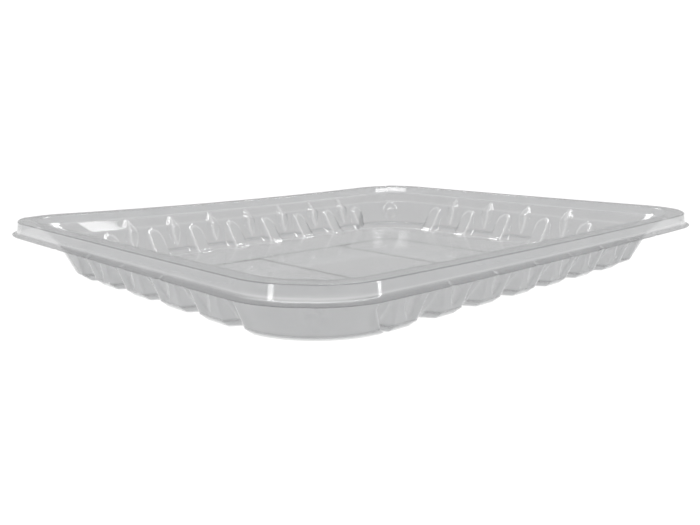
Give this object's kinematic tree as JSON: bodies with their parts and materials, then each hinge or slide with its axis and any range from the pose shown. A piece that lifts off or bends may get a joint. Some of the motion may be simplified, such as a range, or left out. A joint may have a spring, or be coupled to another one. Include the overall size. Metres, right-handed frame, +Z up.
{
  "type": "nursery tray",
  "caption": "Shallow open tray thermoformed from one clear plastic sheet, with ribbed sloping walls, a flat flange and a skirted rim.",
  "frame": {"origin": "centre of the footprint, on the surface that the tray stands on", "axes": "+X along the long side, +Y towards the back long side, +Z up through the open mouth"},
  "size_m": [0.3872, 0.3162, 0.036],
  "materials": {
    "clear_sheet": "clear gloss"
  },
  "bodies": {
    "root": {"floor_panel": "clear_sheet", "front_wall": "clear_sheet", "back_wall": "clear_sheet", "left_wall": "clear_sheet", "right_wall": "clear_sheet", "front_left_corner": "clear_sheet", "front_right_corner": "clear_sheet", "back_right_corner": "clear_sheet", "back_left_corner": "clear_sheet", "front_rim": "clear_sheet", "back_rim": "clear_sheet", "left_rim": "clear_sheet", "right_rim": "clear_sheet", "front_left_rim_corner": "clear_sheet", "front_right_rim_corner": "clear_sheet", "back_right_rim_corner": "clear_sheet", "back_left_rim_corner": "clear_sheet"}
  },
  "joints": []
}
